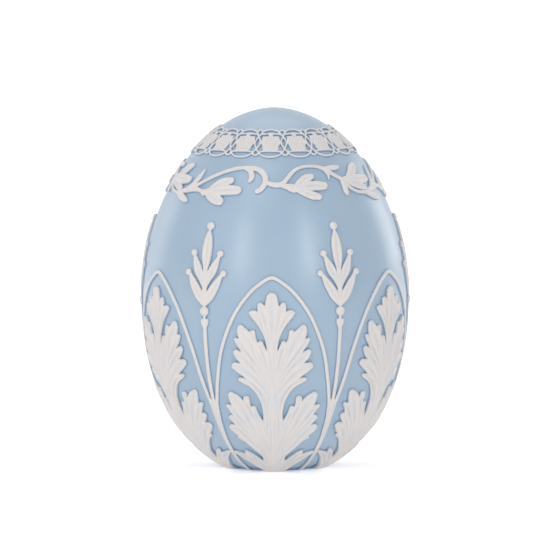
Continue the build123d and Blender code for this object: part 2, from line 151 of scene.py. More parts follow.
# How a stroke stands up: its height at root and tip, the width of its rounded shoulder, and the depth of the
# soft hollow down its middle.
Shape = namedtuple("Shape", "root tip shoulder hollow")


class Sprig:
    """A relief pattern on a grid of chart points."""

    CHUNK = 60

    def __init__(self, u, s):
        self.u, self.s = u, s
        self.inside = np.full(u.shape, FIELD_FLOOR)  # distance inside the outline
        self.height = np.zeros(u.shape)
        self.carving = np.zeros(u.shape)

    def measure(self, line, margin=1.0):
        """Grid points near a line: where they are, depth inside its edge, distance as a share of its half
        width, and place along it."""
        u, s = self.u.ravel(), self.s.ravel()
        depth = np.full(u.size, FIELD_FLOOR)
        share = np.full(u.size, np.inf)
        place = np.zeros(u.size)
        for first in range(0, len(line), self.CHUNK):
            part = line[first : first + self.CHUNK + 1]
            reach = part[:, 2].max() + margin
            low, high = part[:, :2].min(0) - reach, part[:, :2].max(0) + reach
            near = np.flatnonzero((u > low[0]) & (u < high[0]) & (s > low[1]) & (s < high[1]))
            if not near.size:
                continue
            gap = np.hypot(u[near, None] - part[:, 0], s[near, None] - part[:, 1])
            shares = gap / part[:, 2]
            depth[near] = np.maximum(depth[near], (part[:, 2] - gap).max(1))
            closest = shares.argmin(1)
            best = shares[np.arange(near.size), closest]
            better = best < share[near]
            share[near[better]] = best[better]
            place[near[better]] = (first + closest[better]) / max(len(line) - 1, 1)
        return tuple(field.reshape(self.u.shape) for field in (depth, share, place))

    def lay(self, points, shape):
        """Lays a stroke, (u, s, half width) from root to tip, over what is there."""
        depth, share, place = self.measure(smooth_line(points))
        rise = np.sqrt(1 - (1 - np.clip(depth / shape.shoulder, 0, 1)) ** 2)
        full = shape.root + (shape.tip - shape.root) * place
        across = 1 - smooth_step(share, *HOLLOW_ACROSS)
        hollow = shape.hollow * across * smooth_step(place, *HOLLOW_ALONG)
        height = LIP + (full - LIP) * rise - hollow
        self.height = np.maximum(self.height, np.where(depth > 0, height, 0))
        self.inside = np.maximum(self.inside, depth)

    def groove(self, points, depth, fade=0.25):
        """Carves a soft groove along a line of (u, s, half width); it fades out at both ends."""
        _, share, place = self.measure(smooth_line(points), margin=1.5)
        ends = smooth_step(place, 0, fade) * smooth_step(1 - place, 0, fade)
        self.carving = np.maximum(self.carving, depth * np.exp(-np.minimum(share, 9) ** 2) * ends)

    def finish(self, roughness, seed):
        """Applies the carving, the floor and a little unevenness of the mould."""
        uneven = smooth_noise(self.u.shape, seed)
        edge = smooth_step(self.inside, 0, UNEVEN_REACH)
        self.height = self.height - self.carving * smooth_step(self.inside, 0, CARVING_REACH)
        self.height = self.height + roughness * uneven * edge
        self.height = np.minimum(np.maximum(self.height, LIP), lift_limit(self.s))
        # mask of where the hollows take painted shade
        self.hollow = self.hollow_shade_mask()

    def hollow_shade_mask(self):
        """Mask of the painted shade in the hollows: 0 on open ground to 1 in hollows, from the height
        against its surroundings.
        """
        mask = (self.inside > 0).astype(float)
        step = np.hypot(self.u[0, 1] - self.u[0, 0], self.s[0, 1] - self.s[0, 0])
        reach = max(int(round(HOLLOW_REACH / step)), 1)
        around = blurred(self.height * mask, reach) / np.maximum(blurred(mask, reach), 1e-6)
        edge = smooth_step(self.inside, 0.15, 0.9)
        return np.clip((around - self.height) / HOLLOW_DEPTH, 0, 1) * edge


def blurred(field, reach):
    """Field averaged over a window in both directions."""
    window = np.hanning(2 * reach + 3)[1:-1]
    window /= window.sum()
    for axis in (0, 1):
        field = np.apply_along_axis(lambda row: np.convolve(row, window, mode="same"), axis, field)
    return field


def smooth_noise(shape, seed):
    """Seeded soft noise of about unit size."""
    noise = blurred(np.random.default_rng(seed).standard_normal(shape), 4)
    return noise / max(noise.std(), 1e-9)


def chart_grid(u_low, u_high, s_low, s_high, step):
    """Evenly spaced chart points over a rectangle."""
    return np.meshgrid(np.arange(u_low, u_high + step, step), np.arange(s_low, s_high + step, step))


# ---------------------------------------------------------------- meshes from height fields


def outline_faces(inside, closed):
    """Faces that fill the inside of a field, with its outline cut through the grid's cells.

    Gives the vertices as fractional (row, column) places, which of them lie on the outline, the faces, and
    the outline's edges.  A closed grid joins its last column to its first.
    """
    if closed:
        inside = np.hstack([inside, inside[:, :1]])
    full = inside > 0
    rows, columns = np.indices(inside.shape)
    corner = np.full(inside.shape, -1)
    corner[full] = np.arange(full.sum())
    places = [np.stack([rows[full], columns[full]], axis=-1).astype(float)]
    count = int(full.sum())

    def crossings(axis):
        nonlocal count
        first = inside[:-1] if axis == 0 else inside[:, :-1]
        second = inside[1:] if axis == 0 else inside[:, 1:]
        cut = (first > 0) != (second > 0)
        share = np.clip(first[cut] / (first[cut] - second[cut]), CROSSING_LIMIT, 1 - CROSSING_LIMIT)
        start = np.argwhere(cut).astype(float)
        start[:, axis] += share
        places.append(start)
        number = np.full(cut.shape, -1)
        number[cut] = count + np.arange(len(start))
        count += len(start)
        return number

    upright, level = crossings(0), crossings(1)
    if closed:
        corner[:, -1] = corner[:, 0]
        upright[:, -1] = upright[:, 0]
    quads = full[:-1, :-1] & full[:-1, 1:] & full[1:, 1:] & full[1:, :-1]
    some = full[:-1, :-1] | full[:-1, 1:] | full[1:, 1:] | full[1:, :-1]
    around = (corner[:-1, :-1], corner[:-1, 1:], corner[1:, 1:], corner[1:, :-1])
    faces = np.stack([side[quads] for side in around], axis=-1).tolist()
    edges = []
    for i, j in np.argwhere(some & ~quads):
        corners = [corner[i, j], corner[i, j + 1], corner[i + 1, j + 1], corner[i + 1, j]]
        cuts = [level[i, j], upright[i, j + 1], level[i + 1, j], upright[i, j]]
        face, open_edges, left = [], [], None
        for k in range(4):
            if corners[k] >= 0:
                face.append(int(corners[k]))
            if cuts[k] >= 0:
                face.append(int(cuts[k]))
                if corners[k] >= 0:
                    left = int(cuts[k])
                else:
                    open_edges.append((left, int(cuts[k])))
        edges += [(face[-1] if start is None else start, end) for start, end in open_edges]
        faces.append(face)
    on_outline = np.arange(count) >= full.sum()
    return np.vstack(places), on_outline, faces, edges


def sample(field, places):
    """Field values at fractional (row, column) places."""
    low = np.floor(places).astype(int)
    share = places - low
    high = np.minimum(low + 1, np.array(field.shape) - 1)
    bottom = field[low[:, 0], low[:, 1]] * (1 - share[:, 1]) + field[low[:, 0], high[:, 1]] * share[:, 1]
    top = field[high[:, 0], low[:, 1]] * (1 - share[:, 1]) + field[high[:, 0], high[:, 1]] * share[:, 1]
    return bottom * (1 - share[:, 0]) + top * share[:, 0]


class Mould:
    """A finished sprig pattern, ready to be pressed onto the body at any azimuth."""

    def __init__(self, sprig, closed=False):
        places, on_outline, top, edges = outline_faces(sprig.inside, closed)
        grids = (sprig.u / radius_of(sprig.s), sprig.s, sprig.height, sprig.hollow)
        if closed:
            turn = grids[0][:, :1] + 2 * pi
            grids = (np.hstack([grids[0], turn]),) + tuple(np.hstack([g, g[:, :1]]) for g in grids[1:])
        self.azimuth, self.s, lift, hollow = (sample(grid, places) for grid in grids)
        self.lift = np.where(on_outline, np.minimum(LIP, lift_limit(self.s)), lift)
        self.hollow = np.where(on_outline, 0, hollow)
        self.edge = on_outline.astype(float)
        under = len(places)
        sides = [(b, a, a + under, b + under) for a, b in edges]
        self.faces = top + [[v + under for v in reversed(face)] for face in top] + sides

    def press(self, name, degrees):
        """Makes the mesh of this pattern at an azimuth."""
        azimuth = self.azimuth + radians(degrees)
        top = body_points(azimuth, self.s, self.lift)
        bottom = body_points(azimuth, self.s, -SINK)
        mesh = bpy.data.meshes.new(name)
        mesh.from_pydata(np.vstack([top, bottom]).tolist(), [], self.faces)
        # hollow is the mask of the painted shade in the relief's hollows; edge marks the outline, which
        # takes the body's blue darkened with painted shade
        for label, values in (("hollow", self.hollow), ("edge", self.edge)):
            attribute = mesh.attributes.new(label, "FLOAT", "POINT")
            attribute.data.foreach_set("value", np.concatenate([values, values]).astype(np.float32))
        mesh.shade_smooth()
        piece = bpy.data.objects.new(name, mesh)
        bpy.context.scene.collection.objects.link(piece)
        return piece


# ---------------------------------------------------------------- the strokes, close to the CAD part's

LEAF_COUNT = 6
LEAF_START = -1.3
LEAF_PITCH = 360 / LEAF_COUNT
SPIKE_START = LEAF_START + LEAF_PITCH / 2
VINE_COUNT = 3
VINE_PITCH = 360 / VINE_COUNT
LACE_COUNT = 17
LACE_PITCH = 360 / LACE_COUNT
LACE_START = -2.8

STEM = [
    (0, -2.5, 0.85), (0, 6, 0.8), (0, 12, 0.85), (0, 19, 0.95), (0, 24, 1.05), (0, 29, 1.25), (0, 34, 1.5),
    (0, 38, 1.9), (0, 41, 2.15),
]
ARCH_SIDE = [
    (1.8, 95.0, 0.8), (4.0, 93.6, 0.8), (6.3, 91.9, 0.8), (8.5, 89.9, 0.8), (12.6, 85, 0.8), (15.8, 80, 0.8),
    (18.2, 75, 0.8), (20.1, 70, 0.8), (21.6, 65, 0.8), (22.6, 60, 0.8), (23.2, 55, 0.8), (23.7, 50, 0.8),
    (24.0, 45, 0.8), (24.2, 41, 0.8),
]

LEAF_RIB = [
    (0, -2.5, 5.0), (0, 8, 4.6), (0, 12, 4.3), (0, 16, 4.3), (0, 27, 4.5), (0, 33.4, 4.2), (0, 38, 3.9),
    (0, 46, 3.6), (0, 56, 2.9), (0, 64.5, 2.45),
]
LEAF_TIP = [(0, 64, 2.0), (0, 75, 2.8), (0, 83, 3.0), (0, 87.2, 2.4)]
CROWN_FINGERS = [
    [(0.8, 68, 1.4), (2.6, 77, 2.2), (4.2, 82.2, 1.8), (4.7, 84.2, 1.3)],
    [(1, 64, 0.9), (2.1, 70.5, 1.1), (4.2, 76, 1.6), (7, 80.1, 1.9), (8.8, 81, 0.95)],
]
UPPER_FINGERS = [
    [(1.8, 56, 1.2), (3.4, 62, 1.7), (4.15, 65.3, 1.7), (4.75, 68.3, 1.15)],
    [(2, 54, 1.4), (5.5, 63.5, 1.9), (7.6, 69.5, 1.35), (8.05, 72.9, 1.2)],
    [(2, 52, 1.4), (5.5, 61, 2.4), (10.2, 69.5, 3), (12.4, 73, 2.25), (13, 74.7, 1.5)],
    [(2, 50, 1.4), (6, 58, 2), (11.6, 65.4, 1.5), (13.7, 68.4, 1.5), (15.2, 69.85, 0.8)],
    [(2, 48, 1.4), (6, 55.5, 1.9), (11.5, 61, 2.1), (13.6, 62.8, 1.9), (15.1, 64.4, 1.3)],
    [(1.8, 45.5, 1.4), (6, 51.5, 2.2), (10.5, 55.6, 2.4), (13.2, 57.5, 2.3), (15.6, 58.5, 1.6)],
    [(2.2, 34, 1.8), (2.6, 38.5, 1.7), (3.6, 43.3, 1.7), (6, 47.9, 1.6), (8.7, 50.7, 1.55),
     (11.3, 51.9, 1.3), (13.4, 52.7, 0.95)],
]
LOWER_FINGERS = [
    [(2.2, 18, 1.6), (5, 28, 1.8), (6.2, 32.8, 2.1), (6.95, 36.3, 1.25), (7.85, 39.8, 1.05)],
    [(2.8, 20, 1.6), (7.2, 32, 2.2), (10.4, 40, 1.6), (10.95, 44.1, 1.4)],
    [(3, 18, 1.6), (7.5, 28.5, 2.4), (12.6, 38, 3), (15.6, 43, 2.6), (17.6, 45.6, 1.4)],
    [(3, 16.5, 1.6), (8, 26, 2), (14.2, 35.2, 2), (17.2, 39, 1.4), (19.1, 40.4, 0.85)],
    [(3, 15, 1.6), (8, 23.5, 2), (13, 30.9, 2), (15.6, 33.7, 2), (17.6, 34.9, 1.25)],
    [(2.8, 13, 1.6), (8, 20.7, 2.2), (12.6, 26.4, 2.4), (15.2, 28.7, 2.3), (17.4, 30, 1.5)],
    [(2.6, 9, 1.6), (3.2, 12.2, 1.55), (4.6, 16, 1.5), (7.4, 19.9, 1.5), (11, 23, 1.45), (14.4, 24.5, 0.8)],
]
LEAFLETS = [
    [(3, 3.8, 2.2), (6.9, 9.4, 1.9), (9.7, 13.3, 1.5), (11.7, 15.8, 0.75)],
    [(3, 2.2, 2.3), (7.6, 7.9, 2.1), (12, 12.2, 1.6), (16.6, 15, 0.75)],
]

SPIKE_STEM = [(0, 42.5, 0.85), (0, 60, 0.85), (0, 73, 0.9), (0, 76, 0.9), (0, 79.5, 0.6)]
SPIKE_CUP = [(0.3, 74.8, 0.8), (0.85, 76.3, 0.9), (1.2, 77.4, 0.65)]
SPIKE_KNOB = (0, 81.1, 2.05)
SPIKE_PETAL = [
    (0, 83.8, 0.9), (0, 92, 1.2), (0, 98, 1.1), (0, 103, 2.1), (0, 107.3, 2.3), (0, 111.5, 1.7),
    (0, 114.6, 0.6),
]
SPIKE_SIDES = [
    [(0.2, 90.3, 0.7), (1.5, 94.0, 1.25), (3.5, 98.3, 2.0), (5.5, 103.2, 0.95)],
    [(0.6, 84.5, 1.2), (2.6, 87.8, 2.1), (5.15, 92.0, 1.8), (7.3, 95.9, 0.9)],
]
SPIKE_BEADS = [(6.25, 105.1, 1.5), (8.4, 97.0, 1.45)]
SPIKE_TOP_BEAD = (0, 116.6, 1.75)

# Vine points are (azimuth in degrees, s, half width), over one repeat of the vine.
SCROLL_MIDDLE, BOW_MIDDLE, TENDRIL_MIDDLE = -31, 20, 54
SCROLL = [
    [(-60, 130.3, 1.0), (-56, 131.3, 1.15), (-51, 132.1, 1.3), (-47, 132.3, 1.1), (-42, 131.6, 0.8)],
    [(-54.5, 132.2, 1.0), (-51, 134.2, 1.2), (-48.9, 137, 1.2), (-47.7, 139.2, 0.95), (-46.8, 141.6, 0.35)],
    [(-49.5, 133.2, 0.9), (-45.5, 135.1, 0.8), (-41, 137.2, 0.8), (-36, 139.3, 0.85), (-30, 141.3, 0.85),
     (-24, 142.7, 0.9), (-18, 143.3, 0.95), (-12.5, 143.1, 1.1), (-8.3, 141.9, 1.2), (-5.8, 139.8, 1.2),
     (-5.0, 137.3, 1.25), (-5.9, 134.9, 1.3), (-7.6, 133.1, 1.3), (-9.2, 132.4, 1.2)],
    [(-18.5, 143.0, 0.7), (-14.9, 141.8, 1.0), (-13.4, 139.8, 1.25), (-13.3, 138.1, 1.15),
     (-14.2, 136.9, 0.8)],
]
BOW = [
    [(-4.2, 136.2, 1.1), (-1, 135.4, 1.2), (2, 135.2, 1.2), (4.8, 135.9, 1.1), (7, 137.7, 0.95),
     (9.5, 140, 0.9), (12.5, 142.0, 0.85), (16, 143.2, 0.75), (20, 143.7, 0.7), (25, 143.7, 0.7),
     (29, 143.1, 0.8), (32, 141.9, 1.0), (33.4, 140.2, 0.95), (33.4, 138.7, 0.65), (32.7, 137.1, 0.3)],
    [(31.5, 142.3, 0.9), (34.3, 141.2, 1.0), (36.3, 139.7, 0.85), (39, 138.3, 0.8), (41.8, 137.0, 0.9),
     (44, 136.5, 1.2)],
    [(32.5, 142.6, 0.8), (36, 142.5, 1.1), (40, 142.6, 1.35), (42.6, 142.5, 0.9)],
]
TENDRIL = [
    [(41.7, 136.6, 1.1), (43.2, 135.2, 1.0), (44.9, 133.4, 0.8), (47.2, 131.9, 0.8), (50, 130.9, 0.8),
     (54, 130.3, 0.8), (58, 130.1, 0.9), (61, 130.4, 1.0)],
    [(42, 135.5, 1.3), (41.9, 133.5, 1.25), (41.8, 131.5, 1.3), (41.8, 130.5, 1.1)],
    [(58, 129.8, 1.0), (62, 128.7, 1.5), (65.5, 127.6, 1.4), (68.2, 126.8, 0.8)],
]
# Each flower: its middle azimuth, its calyx strokes, and its petals with the one that lies on top last.
FLOWERS = [
    (-31, [
        [(-43.5, 131.5, 0.7), (-40.5, 131.2, 1.4), (-38, 131.6, 1.5)],
        [(-41, 131.0, 1.2), (-41, 130.1, 0.7)],
    ], [
        [(-37.7, 131.8, 1.3), (-34.4, 133.7, 1.9), (-30, 135.8, 2.3), (-25.6, 136.9, 1.7)],
        [(-38.5, 131, 1.3), (-35.5, 129.6, 2.0), (-32, 128.4, 2.3), (-29.3, 127.5, 1.9)],
        [(-38, 131.5, 1.4), (-31, 132.3, 2.2), (-24, 132.6, 2.3), (-20.2, 132.6, 1.9)],
    ]),
    (17, [
        [(3.8, 134.9, 0.9), (7, 134.4, 1.4), (10.5, 133.9, 1.7)],
        [(8.5, 133.4, 1.2), (10.6, 132.2, 0.8)],
    ], [
        [(11.9, 134.2, 1.3), (15, 136.1, 1.8), (18.6, 137.9, 2.0), (21.8, 138.7, 1.4)],
        [(12.5, 133, 1.3), (16.3, 131.6, 1.7), (20.5, 130.2, 1.9), (23.9, 129.4, 1.4)],
        [(12, 133.8, 1.5), (18, 134.3, 2.1), (24, 134.4, 2.2), (28.2, 134.2, 1.8)],
    ]),
    (54, [
        [(43.0, 136.7, 1.1), (46, 136.4, 1.8)],
    ], [
        [(46.8, 137, 1.4), (51.3, 138.9, 2.0), (55.2, 141.5, 2.1), (58.3, 142.9, 1.4)],
        [(46, 135.6, 1.4), (50, 134.3, 1.8), (55, 133, 1.8), (58.4, 131.9, 1.3)],
        [(46, 136.3, 1.6), (52, 136.3, 2.2), (58, 136.2, 2.3), (62.8, 136.2, 1.8)],
    ]),
]

# One cell of the lace band, points (azimuth from the cell's middle, s)
LACE_LINE = 0.41
RING_SIDE = [
    (0, 148.7), (3.2, 148.9), (6.3, 149.8), (8.9, 151.3), (10.6, 153.2), (12.2, 155.0), (12.7, 156.5),
    (12.2, 158.0), (10.6, 159.8), (9.2, 161.3), (6.8, 163.1), (3.5, 164.0), (0, 164.3),
]
LOW_LOOP = [(-2.3, 150.9), (-1.4, 150.0), (0, 149.6), (1.4, 150.0), (2.3, 150.9)]
HIGH_LOOP = [(-2.6, 162.3), (-1.9, 163.4), (0, 163.9), (1.9, 163.4), (2.6, 162.3)]
CROSS_LINES = [
    [(-8.6, 151.2), (-4.5, 151.7), (0, 151.8), (4.5, 151.7), (8.6, 151.2)],
    [(-8.8, 161.3), (-4.5, 161.6), (0, 161.7), (4.5, 161.6), (8.8, 161.3)],
]
WOVEN_BLOCK = [
    (-5.6, 151.8), (5.6, 151.8), (6.4, 154.2), (8.2, 156.5), (7.0, 160.1), (2.2, 160.2), (2.2, 161.7),
    (-2.2, 161.7), (-2.2, 160.2), (-7.0, 160.1), (-8.2, 156.5), (-6.4, 154.2),
]


def mirrored(points):
    """The same stroke on the other side of the sprig's meridian."""
    return [(-u, s, half_width) for u, s, half_width in points]


def both_sides(strokes):
    """Strokes and their mirror images."""
    return [side for points in strokes for side in (points, mirrored(points))]


def from_azimuth(points, middle):
    """Stroke points given by azimuth in degrees, turned into chart points about the middle azimuth."""
    return [(radius_of(s) * radians(a - middle), s, w) for a, s, w in points]


# ---------------------------------------------------------------- relief patterns

LEAF_STEP = 0.33
FINE_STEP = 0.24
LEAF_SHAPE = Shape(root=1.45, tip=1.35, shoulder=1.0, hollow=0.32)
RIB_SHAPE = Shape(root=1.55, tip=1.5, shoulder=1.3, hollow=0)
LINE_SHAPE = Shape(root=0.95, tip=0.95, shoulder=0.75, hollow=0)
STEM_SHAPE = Shape(root=0.95, tip=0.95, shoulder=0.9, hollow=0)
PETAL_SHAPE = Shape(root=1.15, tip=1.3, shoulder=0.95, hollow=0.12)
BEAD_SHAPE = Shape(root=1.5, tip=1.5, shoulder=1.5, hollow=0)
VINE_SHAPE = Shape(root=1.15, tip=1.05, shoulder=0.9, hollow=0.0)
FLOWER_SHAPE = Shape(root=1.15, tip=1.2, shoulder=1.0, hollow=0.16)
TOP_PETAL_SHAPE = Shape(root=1.35, tip=1.4, shoulder=1.0, hollow=0.2)
LACE_SHAPE = Shape(root=0.8, tip=0.8, shoulder=0.36, hollow=0)
MOULD_ROUGHNESS = 0.02

# Grooves: depths, half widths, and where they run
VEIN_DEPTH = 0.42
VEIN_LANE = 0.35  # place of a lobe's first vein beside the rib's middle line
VEIN_RUN = 0.35  # how far a vein runs down the rib, as a share of its root's distance up the leaf
VEIN_WIDTHS = (0.34, 0.38, 0.45)  # at its foot, at its bend and at the root of the finger
RIB_LINES = (-0.72, -0.46, -0.2, 0.2, 0.46, 0.72)  # places as shares of the rib's half width
RIB_LINE_WIDTH, RIB_LINE_DEPTH = 0.3, 0.22
LEAF_CREASE = [(0, 50, 0.4), (0, 70, 0.5), (0, 80, 0.7), (0, 88, 0.6)]
CREASE_DEPTH = 0.3
STEM_PARTING = [(1.1, 44, 0.35), (0.8, 36, 0.35), (0.3, 28, 0.3), (0, 20, 0.3)]
PARTING_DEPTH = 0.3
PETAL_GROOVE_WIDTH, SIDE_GROOVE_DEPTH, MIDDLE_GROOVE_DEPTH = 0.34, 0.14, 0.16
VINE_GROOVE_SHARE, VINE_GROOVE_DEPTH = 0.3, 0.14
FLOWER_GROOVE_WIDTH, FLOWER_GROOVE_DEPTH = 0.4, 0.2

# The lace band's grid, and the weave in its blocks
LACE_LOW, LACE_HIGH, LACE_STEP = 147, 166, 0.2
LACE_COLUMNS = 56
WEAVE_MIDDLE = 156
WEAVE_PITCH = 1.3
WEAVE_SLANT = 0.5
WEAVE_HEIGHT, WEAVE_SWING = 0.52, 0.2


def vein(finger, order, spacing):
    """Groove down the middle of a leaf finger, which bends into the rib and runs down beside the others."""
    (root_u, root_s, _), rest = finger[0], finger[1:]
    lane = (VEIN_LANE + order * spacing) * (1 if root_u > 0 else -1)
    reach = VEIN_RUN * root_s
    foot, bend, root = VEIN_WIDTHS
    down = [(lane, root_s - reach, foot), (0.4 * root_u + 0.6 * lane, root_s - reach / 2, bend)]
    return down + [(root_u, root_s, root)] + [(u, s, 0.22 + 0.3 * w) for u, s, w in rest]


def leaf_pattern():
    """One acanthus leaf: a rib, lobes of gouged fingers, and leaflets at the foot."""
    sprig = Sprig(*chart_grid(-22, 22, -3, 91, LEAF_STEP))
    sprig.lay(LEAF_RIB, RIB_SHAPE)
    sprig.lay(LEAF_TIP, LEAF_SHAPE)
    groups = ((LEAFLETS, 0.9), (LOWER_FINGERS, 0.52), (UPPER_FINGERS, 0.38), (CROWN_FINGERS, 0.6))
    for group, spacing in groups:
        for order, finger in enumerate(group):
            for points in (finger, mirrored(finger)):
                sprig.lay(points, LEAF_SHAPE)
                sprig.groove(vein(points, order, spacing), VEIN_DEPTH)
    for share in RIB_LINES:
        sprig.groove([(share * w, s, RIB_LINE_WIDTH) for _, s, w in LEAF_RIB[1:-1]], RIB_LINE_DEPTH)
    sprig.groove(LEAF_CREASE, CREASE_DEPTH)
    sprig.inside = np.minimum(sprig.inside, sprig.s - LEAF_RIB[0][1])
    sprig.finish(MOULD_ROUGHNESS, seed=1)
    return Mould(sprig)


def arch_pattern():
    """The line of the pointed arch over a leaf, with its ends run into the stems beside it."""
    sprig = Sprig(*chart_grid(-26, 26, 38, 98, FINE_STEP))
    line = list(reversed(mirrored(ARCH_SIDE))) + [(0, 95.5, 0.85)] + ARCH_SIDE
    sprig.lay(line, LINE_SHAPE)
    sprig.finish(MOULD_ROUGHNESS, seed=2)
    return Mould(sprig)


def stem_pattern():
    """A stem between two leaves, which widens upwards to where the arches and the spike leave it."""
    sprig = Sprig(*chart_grid(-4, 4, -3, 46, FINE_STEP))
    sprig.lay(STEM, STEM_SHAPE)
    for parting in both_sides([STEM_PARTING]):
        sprig.groove(parting, PARTING_DEPTH)
    sprig.inside = np.minimum(sprig.inside, sprig.s - STEM[0][1])
    sprig.finish(MOULD_ROUGHNESS, seed=3)
    return Mould(sprig)


def spike_pattern():
    """A flower spike: slender stem, flared cup, knob and beaded petals."""
    sprig = Sprig(*chart_grid(-11, 11, 40, 120, FINE_STEP))
    sprig.lay(SPIKE_STEM, LINE_SHAPE)
    for points in both_sides([SPIKE_CUP]):
        sprig.lay(points, LINE_SHAPE)
    for points in both_sides(reversed(SPIKE_SIDES)):
        sprig.lay(points, PETAL_SHAPE)
        sprig.groove([(u, s, PETAL_GROOVE_WIDTH) for u, s, _ in points], SIDE_GROOVE_DEPTH)
    sprig.lay(SPIKE_PETAL, PETAL_SHAPE._replace(tip=1.45))
    sprig.groove([(0, s, PETAL_GROOVE_WIDTH) for _, s, _ in SPIKE_PETAL[1:]], MIDDLE_GROOVE_DEPTH)
    for bead in [SPIKE_KNOB, SPIKE_TOP_BEAD] + [b[0] for b in both_sides([[b] for b in SPIKE_BEADS])]:
        sprig.lay([bead], BEAD_SHAPE)
    sprig.finish(MOULD_ROUGHNESS, seed=4)
    return Mould(sprig)


def vine_pattern(strokes, middle, seed):
    """One stretch of the vine, with a shallow groove along its thicker stems."""
    sprig = Sprig(*chart_grid(-27, 27, 124, 147, FINE_STEP))
    for points in strokes:
        chart = from_azimuth(points, middle)
        sprig.lay(chart, VINE_SHAPE)
        sprig.groove([(u, s, VINE_GROOVE_SHARE * w) for u, s, w in chart], VINE_GROOVE_DEPTH)
    sprig.finish(MOULD_ROUGHNESS, seed)
    return Mould(sprig)


def flower_pattern(calyx, petals, middle, seed):
    """A three-petalled flower, its middle petal on top."""
    sprig = Sprig(*chart_grid(-14, 14, 123, 148, FINE_STEP))
    for points in calyx:
        sprig.lay(from_azimuth(points, middle), VINE_SHAPE)
    for points, shape in zip(petals, (FLOWER_SHAPE, FLOWER_SHAPE, TOP_PETAL_SHAPE)):
        chart = from_azimuth(points, middle)
        sprig.lay(chart, shape)
        sprig.groove([(u, s, FLOWER_GROOVE_WIDTH) for u, s, _ in chart], FLOWER_GROOVE_DEPTH)
    sprig.finish(MOULD_ROUGHNESS, seed)
    return Mould(sprig)


def depth_in_polygon(polygon, u, s):
    """Distance inside a polygon's outline, negative outside it."""
    inside = np.zeros(u.shape, bool)
    gap = np.full(u.shape, np.inf)
    for (u0, s0), (u1, s1) in zip(polygon, polygon[1:] + polygon[:1]):
        along = (u - u0) * (u1 - u0) + (s - s0) * (s1 - s0)
        along = np.clip(along / ((u1 - u0) ** 2 + (s1 - s0) ** 2), 0, 1)
        gap = np.minimum(gap, np.hypot(u - u0 - along * (u1 - u0), s - s0 - along * (s1 - s0)))
        if s0 != s1:
            inside ^= ((s > s0) != (s > s1)) & (u < u0 + (s - s0) * (u1 - u0) / (s1 - s0))
    return np.where(inside, gap, -gap)


def lace_pattern():
    """The whole band: interlaced rings round woven blocks, one cell drawn and repeated round the body."""
    azimuth = (np.arange(LACE_COLUMNS) / LACE_COLUMNS - 0.5) * LACE_PITCH
    azimuth, s = np.meshgrid(azimuth, np.arange(LACE_LOW, LACE_HIGH, LACE_STEP))
    cell = Sprig(radius_of(s) * np.radians(azimuth), s)

    def line(points, middle):
        cell.lay(from_azimuth([(a + middle, s, LACE_LINE) for a, s in points], 0), LACE_SHAPE)

    for middle in (-LACE_PITCH, 0, LACE_PITCH):
        line(RING_SIDE, middle)
        line([(-a, s) for a, s in RING_SIDE], middle)
    for crossing in (-LACE_PITCH / 2, LACE_PITCH / 2):
        line(LOW_LOOP, crossing)
        line(HIGH_LOOP, crossing)
    for points in CROSS_LINES:
        line(points, 0)
    block = [(radius_of(s) * radians(a), s) for a, s in WOVEN_BLOCK]
    depth = depth_in_polygon(block, cell.u, cell.s)
    strand, slant = 2 * pi / WEAVE_PITCH, WEAVE_SLANT * (s - WEAVE_MIDDLE)
    weave = np.maximum(np.cos(strand * (cell.u + slant)), np.cos(strand * (cell.u - slant)))
    cell.height = np.maximum(cell.height, np.where(depth > 0, WEAVE_HEIGHT + WEAVE_SWING * weave, 0))
    cell.inside = np.maximum(cell.inside, depth)
    band = Sprig(np.tile(cell.u, LACE_COUNT), np.tile(s, LACE_COUNT))
    number = np.repeat(np.arange(LACE_COUNT), LACE_COLUMNS)
    band.u = band.u + radius_of(band.s) * np.radians(number * LACE_PITCH)
    band.inside, band.height = np.tile(cell.inside, LACE_COUNT), np.tile(cell.height, LACE_COUNT)
    band.finish(MOULD_ROUGHNESS, seed=5)
    return Mould(band, closed=True)


# ---------------------------------------------------------------- materials

# Linear colours
RELIEF_GROUND = ((0.82, 0.768, 0.74), (0.782, 0.762, 0.768))
# painted shade: the bluish grey that darkens the relief in its hollows
RELIEF_HOLLOW_SHADE = (0.55, 0.59, 0.68)
# the body's blue showing at the relief's outline and upright sides, darkened further as painted shade round
# the relief
RELIEF_EDGE_BLUE_AND_SHADE = (0.27, 0.43, 0.62)
GLAZE_GROUND = ((0.369, 0.5, 0.641), (0.391, 0.516, 0.65))
# painted shade: the deep blue painted onto the glaze where relief stands close
GLAZE_PAINTED_SHADE = (0.035, 0.17, 0.37)
PAINTED_SHADE_REACH = 2.6 * MM  # how far from the relief the painted shade reaches into the glaze
PAINTED_SHADE_SAMPLES = 8
BUMP_HEIGHT = 0.1 * MM


def new_material(name):
    """An empty node material with its Principled shader."""
    material = bpy.data.materials.new(name)
    material.use_nodes = True
    tree = material.node_tree
    return material, tree, tree.nodes["Principled BSDF"]


def noise(tree, scale, detail=3.0):
    """Noise over the object's own space; scale is in waves per metre."""
    place = tree.nodes.new("ShaderNodeTexCoord")
    node = tree.nodes.new("ShaderNodeTexNoise")
    node.inputs["Scale"].default_value = scale
    node.inputs["Detail"].default_value = detail
    tree.links.new(place.outputs["Object"], node.inputs["Vector"])
    return node.outputs["Fac"]


def mix(tree, factor, first, second, strength=1.0):
    """Mixes two colours by a factor; each colour is a tuple or a socket."""
    node = tree.nodes.new("ShaderNodeMix")
    node.data_type = "RGBA"
    scale = tree.nodes.new("ShaderNodeMath")
    scale.operation = "MULTIPLY"
    scale.inputs[1].default_value = strength
    scale.use_clamp = True
    tree.links.new(factor, scale.inputs[0])
    tree.links.new(scale.outputs[0], node.inputs["Factor"])
    for socket, colour in ((node.inputs[6], first), (node.inputs[7], second)):
        if isinstance(colour, tuple):
            socket.default_value = (*colour, 1)
        else:
            tree.links.new(colour, socket)
    return node.outputs[2]


